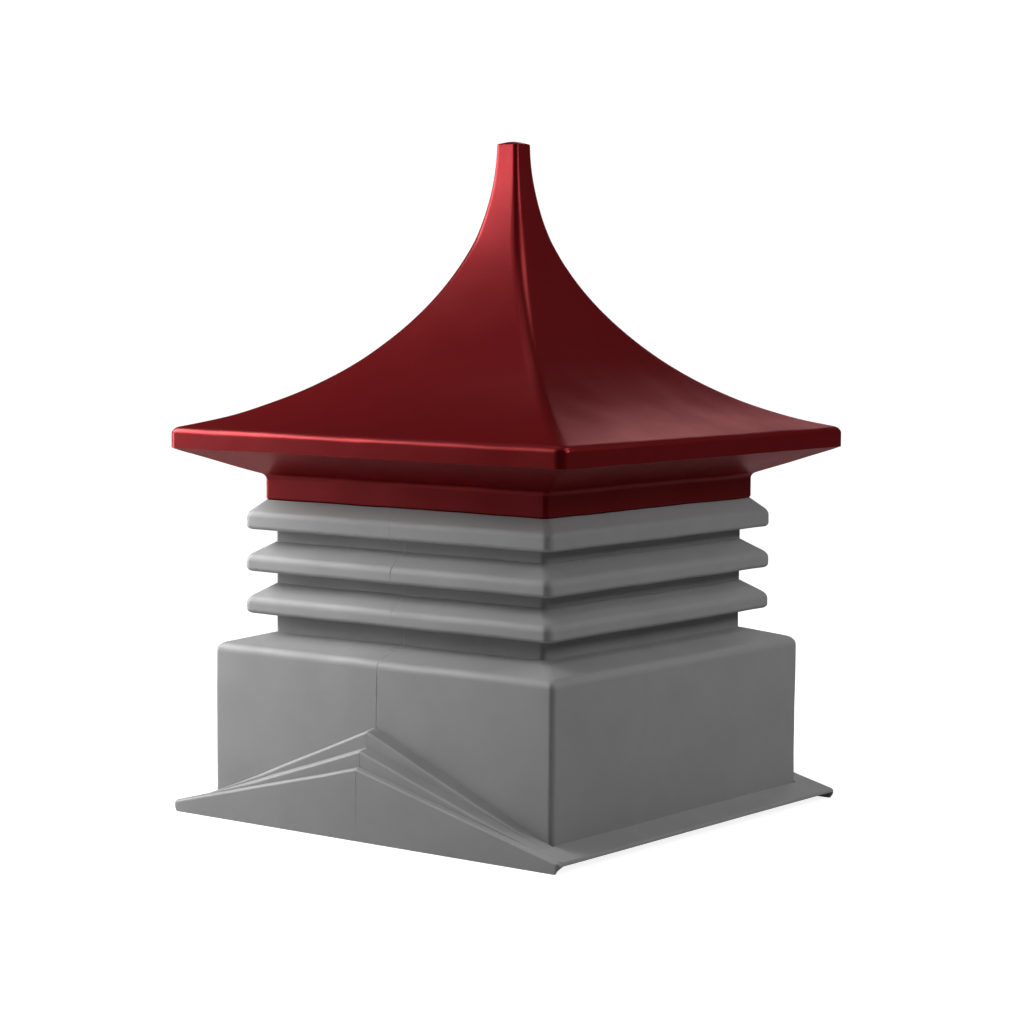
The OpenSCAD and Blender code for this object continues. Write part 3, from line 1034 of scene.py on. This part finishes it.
    def apron(self) -> tuple[np.ndarray, np.ndarray]:
        """Shape the front end's apron with both rounded corners.

        Returns:
            Its outer and inner grids.
        """
        radius, root = self.corner_radius, self.middle_edge
        straight_x, straight_y = self.rim_x - radius, self.rim_y - radius
        turns = np.linspace(math.pi, 1.5 * math.pi, CORNER_STEPS + 1)
        flat = self.stations(straight_x)[1:-1]
        left = np.column_stack([-straight_x + radius * np.cos(turns),
                                -straight_y + radius * np.sin(turns)])
        end = np.array([[-self.rim_x, -root]])
        front = np.column_stack([flat, np.full_like(flat, -self.rim_y)])
        left = np.concatenate([end, left])
        edge = np.concatenate([left, front, left[::-1] * np.array([-1, 1])])
        back = np.column_stack([np.clip(edge[:, 0], -root, root), np.full(len(edge), -root)])
        beyond = np.clip(-edge[:, 1] - (self.rim_y - self.cove), 0, self.cove)
        low = np.where(np.abs(edge[:, 0]) > straight_x - SAME_PLACE,
                       np.sqrt(np.maximum(self.cove ** 2 - beyond ** 2, 0)), 0.0)
        rise = np.full(len(edge), self.apron_rise)
        return self.section(edge, back, low, self.pitches[2], rise)

    def side_wall(self) -> tuple[np.ndarray, np.ndarray]:
        """Shape the wall between the gable ends on the right.

        Returns:
            Its outer and inner grids.
        """
        along = np.linspace(-self.wall_straight, self.wall_straight, 50)
        levels = np.concatenate([[self.foot_height - self.skin],
                                 np.linspace(self.foot_height, self.wall_top, WALL_ROWS)])
        grids = [np.array([np.column_stack([np.full_like(along, x), along,
                                            np.full_like(along, z)]) for z in levels])
                 for x in (self.wall_half, self.wall_half - self.skin)]
        return grids[0], grids[1]

    def flange(self) -> tuple[np.ndarray, np.ndarray]:
        """Shape the flange along the right side, with its rolled edge.

        Returns:
            Its outer and inner grids.
        """
        edge_z = self.foot_height - (self.rim_x - self.wall_half) * self.pitches[2]
        path = Outline(self.skin)
        path.trace([Corner(self.rim_x, self.cove), Corner(self.rim_x, edge_z, self.nose_radius),
                    Corner(self.wall_half, self.foot_height)])
        path.inner[0] = (self.rim_x - self.skin, self.cove)
        path.inner[-1] = (self.wall_half, self.foot_height - self.skin)
        along = np.linspace(-self.middle_edge, self.middle_edge, 56)
        grids = [np.array([np.column_stack([np.full_like(along, x), along,
                                            np.full_like(along, z)]) for x, z in line])
                 for line in (path.outer, path.inner)]
        return grids[0], grids[1]


@dataclass
class PartingLines:
    """The lines of flash that the mould's joint leaves down the middle of both gable ends, in a
    paler finish that paints in their highlight.
    """

    shop: Workshop
    gable: np.ndarray
    upper: Outline
    # Lighter grey than the body: painted highlight that stands in for the light on the fin's lit
    # side and offsets its own shade.
    finish: bpy.types.Material
    thickness: float = 0.4 * MM

    def build(self) -> None:
        """Run a line up each gable end, from the apron's foot to the roof's collar."""
        upper = self.upper.between("wall", "spigot")
        rise = [(0.0, y, z) for _, y, z in self.gable if z > 1 * MM]
        rise += [(0.0, -half, z) for half, z in upper.outer]
        front = np.array(rise)
        for name, turn in (("front", 1.0), ("back", -1.0)):
            line = self.shop.flashed(f"{name}_parting_line", front * np.array([turn, turn, 1.0]),
                                     Slot.BASE, False, thickness=self.thickness,
                                     raggedness=1.0, seed=2.0 + turn)
            # The flash takes the paler finish, whose lighter grey is painted highlight.
            line.data.materials[0] = self.finish


# ---- Shading normals ----


def smooth_together(pieces: list[bpy.types.Object], limit: float) -> None:
    """Give all pieces shading normals that run on from one piece to the next.

    Args:
        pieces: plain mesh objects.
        limit: the angle between faces up to which they shade as one surface.
    """
    keys, normals, weights, owners = [], [], [], []
    for piece in pieces:
        mesh = piece.data
        points = np.empty(len(mesh.vertices) * 3, dtype=np.float32)
        mesh.vertices.foreach_get("co", points)
        points = points.reshape(-1, 3)
        corner = np.empty(len(mesh.loops), dtype=np.int32)
        mesh.loops.foreach_get("vertex_index", corner)
        total = np.empty(len(mesh.polygons), dtype=np.int32)
        mesh.polygons.foreach_get("loop_total", total)
        area = np.empty(len(mesh.polygons), dtype=np.float32)
        mesh.polygons.foreach_get("area", area)
        facing = np.empty(len(mesh.polygons) * 3, dtype=np.float32)
        mesh.polygons.foreach_get("normal", facing)
        keys.append(np.round(points[corner] * 20000).astype(np.int64))
        normals.append(np.repeat(facing.reshape(-1, 3), total, axis=0))
        weights.append(np.repeat(area, total))
        owners.append(len(corner))
    key, normal = np.concatenate(keys), np.concatenate(normals).astype(float)
    weight = np.concatenate(weights).astype(float)
    code = (key[:, 0] * 73856093) ^ (key[:, 1] * 19349663) ^ (key[:, 2] * 83492791)
    order = np.argsort(code, kind="stable")
    code, sorted_normal, sorted_weight = code[order], normal[order], weight[order]
    total = sorted_normal * sorted_weight[:, None]
    near = math.cos(limit)
    for step in range(1, 16):
        same = code[:-step] == code[step:]
        if not same.any():
            break
        close = same & (np.einsum("ij,ij->i", sorted_normal[:-step], sorted_normal[step:]) > near)
        at = np.nonzero(close)[0]
        np.add.at(total, at, sorted_normal[at + step] * sorted_weight[at + step, None])
        np.add.at(total, at + step, sorted_normal[at] * sorted_weight[at, None])
    length = np.linalg.norm(total, axis=1)
    smooth = np.empty_like(total)
    smooth[order] = np.where(length[:, None] > 0, total / np.maximum(length, 1e-20)[:, None],
                             sorted_normal)
    start = 0
    for piece, count in zip(pieces, owners):
        piece.data.polygons.foreach_set("use_smooth", [True] * len(piece.data.polygons))
        piece.data.normals_split_custom_set(smooth[start:start + count].tolist())
        start += count


# ---- Finishes ----


@dataclass(frozen=True)
class Plastic:
    """A moulded plastic: its colour, how it scatters light, and its small faults."""

    name: str
    colour: tuple[float, float, float]
    shade: tuple[float, float, float]
    roughness: float
    roughness_spread: float
    grain_depth: float
    grain_scale: float
    ripple_depth: float
    speck: float
    index: float
    tint: tuple[float, float, float]
    metallic: float


def build_grain_group() -> bpy.types.NodeTree:
    """Build the fine grain, ripple and pinholes of a rotational moulding, as a height.

    Returns:
        A shader group with a Height output in metres.
    """
    t = Tree("Moulded grain", "ShaderNodeTree")
    t.socket("Grain Scale", "NodeSocketFloat", 900.0)
    t.socket("Grain Depth", "NodeSocketFloat", 0.02 * MM)
    t.socket("Ripple Scale", "NodeSocketFloat", 18.0)
    t.socket("Ripple Depth", "NodeSocketFloat", 0.1 * MM)
    t.socket("Pinholes", "NodeSocketFloat", 0.1)
    t.socket("Height", "NodeSocketFloat", out=True)
    place = t.node("ShaderNodeTexCoord").outputs["Object"]
    fine = t.node("ShaderNodeTexNoise", place, None, t.given("Grain Scale"), 3.0).outputs[0]
    broad = t.node("ShaderNodeTexNoise", place, None, t.given("Ripple Scale"), 2.0).outputs[0]
    cells = t.node("ShaderNodeTexVoronoi", place, None, 55.0).outputs["Distance"]
    pit = t.node("ShaderNodeMapRange", cells, 0.0, 0.07, 1.0, 0.0).outputs[0]
    height = t.maths("MULTIPLY", fine, t.given("Grain Depth"))
    height = t.maths("MULTIPLY_ADD", broad, t.given("Ripple Depth"), height)
    height = t.maths("MULTIPLY_ADD", pit, t.maths("MULTIPLY", t.given("Pinholes"), -0.3 * MM),
                     height)
    t.feed(t.target.inputs[0], height)
    return t.tree


def build_mottle_group() -> bpy.types.NodeTree:
    """Build the uneven colour of pigment in the powder, with darker specks.

    Returns:
        A shader group with Colour and Variation outputs.
    """
    t = Tree("Pigment mottle", "ShaderNodeTree")
    t.socket("Colour", "NodeSocketColor", (0.2, 0.2, 0.2, 1.0))
    t.socket("Shade", "NodeSocketColor", (0.15, 0.15, 0.15, 1.0))
    t.socket("Speck", "NodeSocketFloat", 0.2)
    t.socket("Colour", "NodeSocketColor", out=True)
    t.socket("Variation", "NodeSocketFloat", out=True)
    place = t.node("ShaderNodeTexCoord").outputs["Object"]
    broad = t.node("ShaderNodeTexNoise", place, None, 7.0, 5.0, 0.62).outputs[0]
    fine = t.node("ShaderNodeTexNoise", place, None, 420.0, 2.0).outputs[0]
    cells = t.node("ShaderNodeTexVoronoi", place, None, 120.0).outputs["Distance"]
    dots = t.node("ShaderNodeMapRange", cells, 0.05, 0.13, 1.0, 0.0).outputs[0]
    patches = t.node("ShaderNodeMapRange", broad, 0.35, 0.7, 0.0, 1.0).outputs[0]
    mix = t.maths("MULTIPLY_ADD", t.maths("SUBTRACT", fine, 0.5), 0.7, patches)
    mix = t.maths("MULTIPLY_ADD", dots, t.given("Speck"), mix)
    mixed = t.node("ShaderNodeMix", data_type="RGBA")
    t.feed(mixed.inputs["Factor"], mix)
    t.feed(mixed.inputs[6], t.given("Colour"))
    t.feed(mixed.inputs[7], t.given("Shade"))
    t.feed(t.target.inputs[0], mixed.outputs[2])
    t.feed(t.target.inputs[1], broad)
    return t.tree


def build_finish(plastic: Plastic, grain: bpy.types.NodeTree,
                 mottle: bpy.types.NodeTree) -> bpy.types.Material:
    """Build the material of one plastic.

    Args:
        plastic: its values.
        grain: the group that gives its height.
        mottle: the group that gives its colour.

    Returns:
        The material.
    """
    material = bpy.data.materials.new(plastic.name)
    material.use_nodes = True
    nodes, links = material.node_tree.nodes, material.node_tree.links
    shader = nodes["Principled BSDF"]
    colour = nodes.new("ShaderNodeGroup")
    colour.node_tree = mottle
    colour.inputs["Colour"].default_value = (*plastic.colour, 1)
    colour.inputs["Shade"].default_value = (*plastic.shade, 1)
    colour.inputs["Speck"].default_value = plastic.speck
    height = nodes.new("ShaderNodeGroup")
    height.node_tree = grain
    height.inputs["Grain Scale"].default_value = plastic.grain_scale
    height.inputs["Grain Depth"].default_value = plastic.grain_depth
    height.inputs["Ripple Depth"].default_value = plastic.ripple_depth
    bump = nodes.new("ShaderNodeBump")
    bump.inputs["Distance"].default_value = 1.0
    bump.inputs["Strength"].default_value = 1.0
    rough = nodes.new("ShaderNodeMapRange")
    rough.inputs["To Min"].default_value = plastic.roughness - plastic.roughness_spread
    rough.inputs["To Max"].default_value = plastic.roughness + plastic.roughness_spread
    rough.inputs["From Min"].default_value = 0.3
    rough.inputs["From Max"].default_value = 0.7
    links.new(colour.outputs["Colour"], shader.inputs["Base Color"])
    links.new(colour.outputs["Variation"], rough.inputs["Value"])
    links.new(rough.outputs[0], shader.inputs["Roughness"])
    links.new(height.outputs[0], bump.inputs["Height"])
    links.new(bump.outputs[0], shader.inputs["Normal"])
    shader.inputs["IOR"].default_value = plastic.index
    shader.inputs["Metallic"].default_value = plastic.metallic
    shader.inputs["Specular Tint"].default_value = (*plastic.tint, 1)
    return material


# ---- Studio ----


@dataclass(frozen=True)
class Softbox:
    """A large soft light that points at the object's middle.

    The azimuth is in degrees from the front towards the right, and the power in watts.
    """

    name: str
    azimuth: float
    elevation: float
    distance: float
    size: tuple[float, float]
    power: float

    def place(self, target: Vector) -> Vector:
        """Return where the light stands, seen from its target."""
        turn, lift = math.radians(self.azimuth), math.radians(self.elevation)
        way = Vector((math.sin(turn) * math.cos(lift), -math.cos(turn) * math.cos(lift),
                      math.sin(lift)))
        return target + way * self.distance


@dataclass
class Studio:
    """Camera, floor, surroundings and lights."""

    azimuth: float = math.radians(37.3918)
    aim: float = math.radians(-0.01645)
    distance: float = 5.20209
    height: float = 0.99896
    pitch: float = math.radians(4.70687)
    roll: float = math.radians(0.38101)
    lens: float = 95.09
    sensor: float = 36.0
    ambient: float = 0.02
    floor_glow: tuple[float, float] = (0.88, 1.05)
    bounce: float = 0.07
    aimed_at: tuple[float, float, float] = (0.0, 0.0, 0.6)
    floor_reach: float = 30.0
    floor_colour: tuple[float, float, float, float] = (0.35, 0.35, 0.35, 1.0)
    floor_fade: tuple[float, float] = (0.6, 2.5)
    backdrop: float = 1.05
    # Each row gives a name, azimuth, elevation, distance, width and height, and power.
    softboxes: tuple[Softbox, ...] = (
        Softbox("key_low", -62, 3, 2.2, (0.8, 0.6), 20.0),
        Softbox("key_high", -68, 27, 2.2, (0.8, 0.8), 38.0),
        Softbox("key_middle", -54, 25, 2.2, (0.8, 0.8), 27.0),
        Softbox("key_front", -37, 23, 2.2, (0.8, 0.8), 12.0),
        Softbox("front", -20, 44, 3.2, (1.8, 1.2), 10.0),
        Softbox("right", 106, 27, 3.2, (1.4, 1.0), 39.0),
        Softbox("right_high", 116, 55, 3.2, (1.8, 1.2), 26.0),
        Softbox("back_left", -140, 10, 3.6, (1.0, 0.6), 3.0),
        Softbox("back", -155, 26, 3.2, (1.3, 0.5), 3.6),
        Softbox("back_right", -172, 14, 3.6, (1.0, 0.8), 4.0),
        Softbox("top", -70, 78, 3.0, (2.4, 1.8), 10.0),
    )

    def build(self) -> None:
        """Set up everything that the object stands in."""
        self.camera()
        self.floor()
        self.surroundings()
        for box in self.softboxes:
            self.light(box)
        bpy.context.scene.view_settings.view_transform = "Standard"

    def camera(self) -> None:
        """Stand the camera off the corner between the front and the right side."""
        data = bpy.data.cameras.new("camera")
        data.lens, data.sensor_width = self.lens, self.sensor
        data.clip_end = 60
        made = bpy.data.objects.new("camera", data)
        heading = Vector((-math.sin(self.azimuth + self.aim),
                          math.cos(self.azimuth + self.aim), 0))
        forward = heading * math.cos(self.pitch) - Vector((0, 0, math.sin(self.pitch)))
        right = forward.cross(Vector((0, 0, 1))).normalized()
        up = right.cross(forward)
        across = right * math.cos(self.roll) + up * math.sin(self.roll)
        upright = up * math.cos(self.roll) - right * math.sin(self.roll)
        matrix = Matrix((across, upright, -forward)).transposed().to_4x4()
        matrix.translation = Vector((math.sin(self.azimuth) * self.distance,
                                     -math.cos(self.azimuth) * self.distance, self.height))
        made.matrix_world = matrix
        bpy.context.scene.collection.objects.link(made)
        bpy.context.scene.camera = made

    def floor(self) -> None:
        """Lay the plain pale floor."""
        reach = self.floor_reach
        points = np.array([(-reach, -reach, 0), (reach, -reach, 0), (reach, reach, 0),
                           (-reach, reach, 0)], dtype=float)
        made = make_object("floor", points, [(0, 1, 2, 3)])
        pale = bpy.data.materials.new("pale_floor")
        pale.use_nodes = True
        nodes, links = pale.node_tree.nodes, pale.node_tree.links
        shader = nodes["Principled BSDF"]
        shader.inputs["Base Color"].default_value = self.floor_colour
        shader.inputs["Roughness"].default_value = 0.9
        shader.inputs["Specular IOR Level"].default_value = 0.1
        shader.inputs["Emission Color"].default_value = (1, 1, 1, 1)
        ray = nodes.new("ShaderNodeLightPath")
        place = nodes.new("ShaderNodeTexCoord")
        length = nodes.new("ShaderNodeVectorMath")
        length.operation = "LENGTH"
        glow = nodes.new("ShaderNodeMapRange")
        glow.interpolation_type = "SMOOTHSTEP"
        for name, value in zip(("From Min", "From Max", "To Min", "To Max"),
                               (*self.floor_fade, *self.floor_glow)):
            glow.inputs[name].default_value = value
        held = nodes.new("ShaderNodeMath")
        held.operation = "MAXIMUM"
        held.inputs[1].default_value = self.bounce
        seen = nodes.new("ShaderNodeMath")
        seen.operation = "MULTIPLY"
        links.new(place.outputs["Object"], length.inputs[0])
        links.new(length.outputs["Value"], glow.inputs["Value"])
        links.new(glow.outputs[0], seen.inputs[0])
        links.new(ray.outputs["Is Camera Ray"], held.inputs[0])
        links.new(held.outputs[0], seen.inputs[1])
        links.new(seen.outputs[0], shader.inputs["Emission Strength"])
        made.data.materials.append(pale)

    def surroundings(self) -> None:
        """Surround the scene with a white backdrop that gives almost no light itself."""
        world = bpy.data.worlds.new("studio")
        bpy.context.scene.world = world
        world.use_nodes = True
        nodes, links = world.node_tree.nodes, world.node_tree.links
        back = nodes["Background"]
        back.inputs["Color"].default_value = (1, 1, 1, 1)
        ray = nodes.new("ShaderNodeLightPath")
        mix = nodes.new("ShaderNodeMix")
        mix.inputs["A"].default_value = self.ambient
        mix.inputs["B"].default_value = self.backdrop
        links.new(ray.outputs["Is Camera Ray"], mix.inputs["Factor"])
        links.new(mix.outputs[0], back.inputs["Strength"])

    def light(self, box: Softbox) -> None:
        """Hang one softbox."""
        data = bpy.data.lights.new(box.name, "AREA")
        data.shape = "RECTANGLE"
        data.size, data.size_y = box.size
        data.energy = box.power
        made = bpy.data.objects.new(box.name, data)
        target = Vector(self.aimed_at)
        made.location = box.place(target)
        way = target - made.location
        made.rotation_euler = way.to_track_quat("-Z", "Y").to_euler()
        made.visible_camera = False
        bpy.context.scene.collection.objects.link(made)


def main() -> None:
    """Build the cupola and its studio in order and report each piece."""
    logging.basicConfig(level=logging.INFO, format="%(name)s: %(message)s")
    grain, mottle = build_grain_group(), build_mottle_group()
    roof_plastic = Plastic(
        name="roof_plastic_finish", colour=(0.15, 0.0056, 0.0074), shade=(0.128, 0.0045, 0.006),
        roughness=0.34, roughness_spread=0.035, grain_depth=0.012 * MM, grain_scale=700.0,
        ripple_depth=0.12 * MM, speck=0.25, index=1.45, tint=(1.0, 0.28, 0.3), metallic=0.52)
    base_plastic = Plastic(
        name="base_plastic_finish", colour=(0.25, 0.25, 0.25), shade=(0.228, 0.228, 0.228),
        roughness=0.56, roughness_spread=0.06, grain_depth=0.02 * MM, grain_scale=900.0,
        ripple_depth=0.1 * MM, speck=0.35, index=1.4, tint=(1.0, 1.0, 1.0), metallic=0.0)
    # The flash's paler grey is painted highlight: it stands in for the light on the fin's lit
    # side and offsets the shade round it.
    flash_painted_highlight_plastic = replace(base_plastic, name="flash_painted_highlight_finish",
                            colour=(0.46, 0.46, 0.46), shade=(0.4, 0.4, 0.4))
    finishes = {Slot.ROOF: build_finish(roof_plastic, grain, mottle),
                Slot.BASE: build_finish(base_plastic, grain, mottle)}
    settle = build_settle_tree()
    shop = Workshop(build_wrap_tree(settle), build_panel_tree(settle), build_flash_tree(settle),
                    finishes)
    Roof(shop).build()
    upper = Louvres(shop).build()
    gable = GableEnds(shop).build()
    PartingLines(shop, gable, upper, build_finish(flash_painted_highlight_plastic, grain, mottle)).build()
    smooth_together(shop.made, SAME_SURFACE)
    Studio().build()


if __name__ == "__main__":
    main()
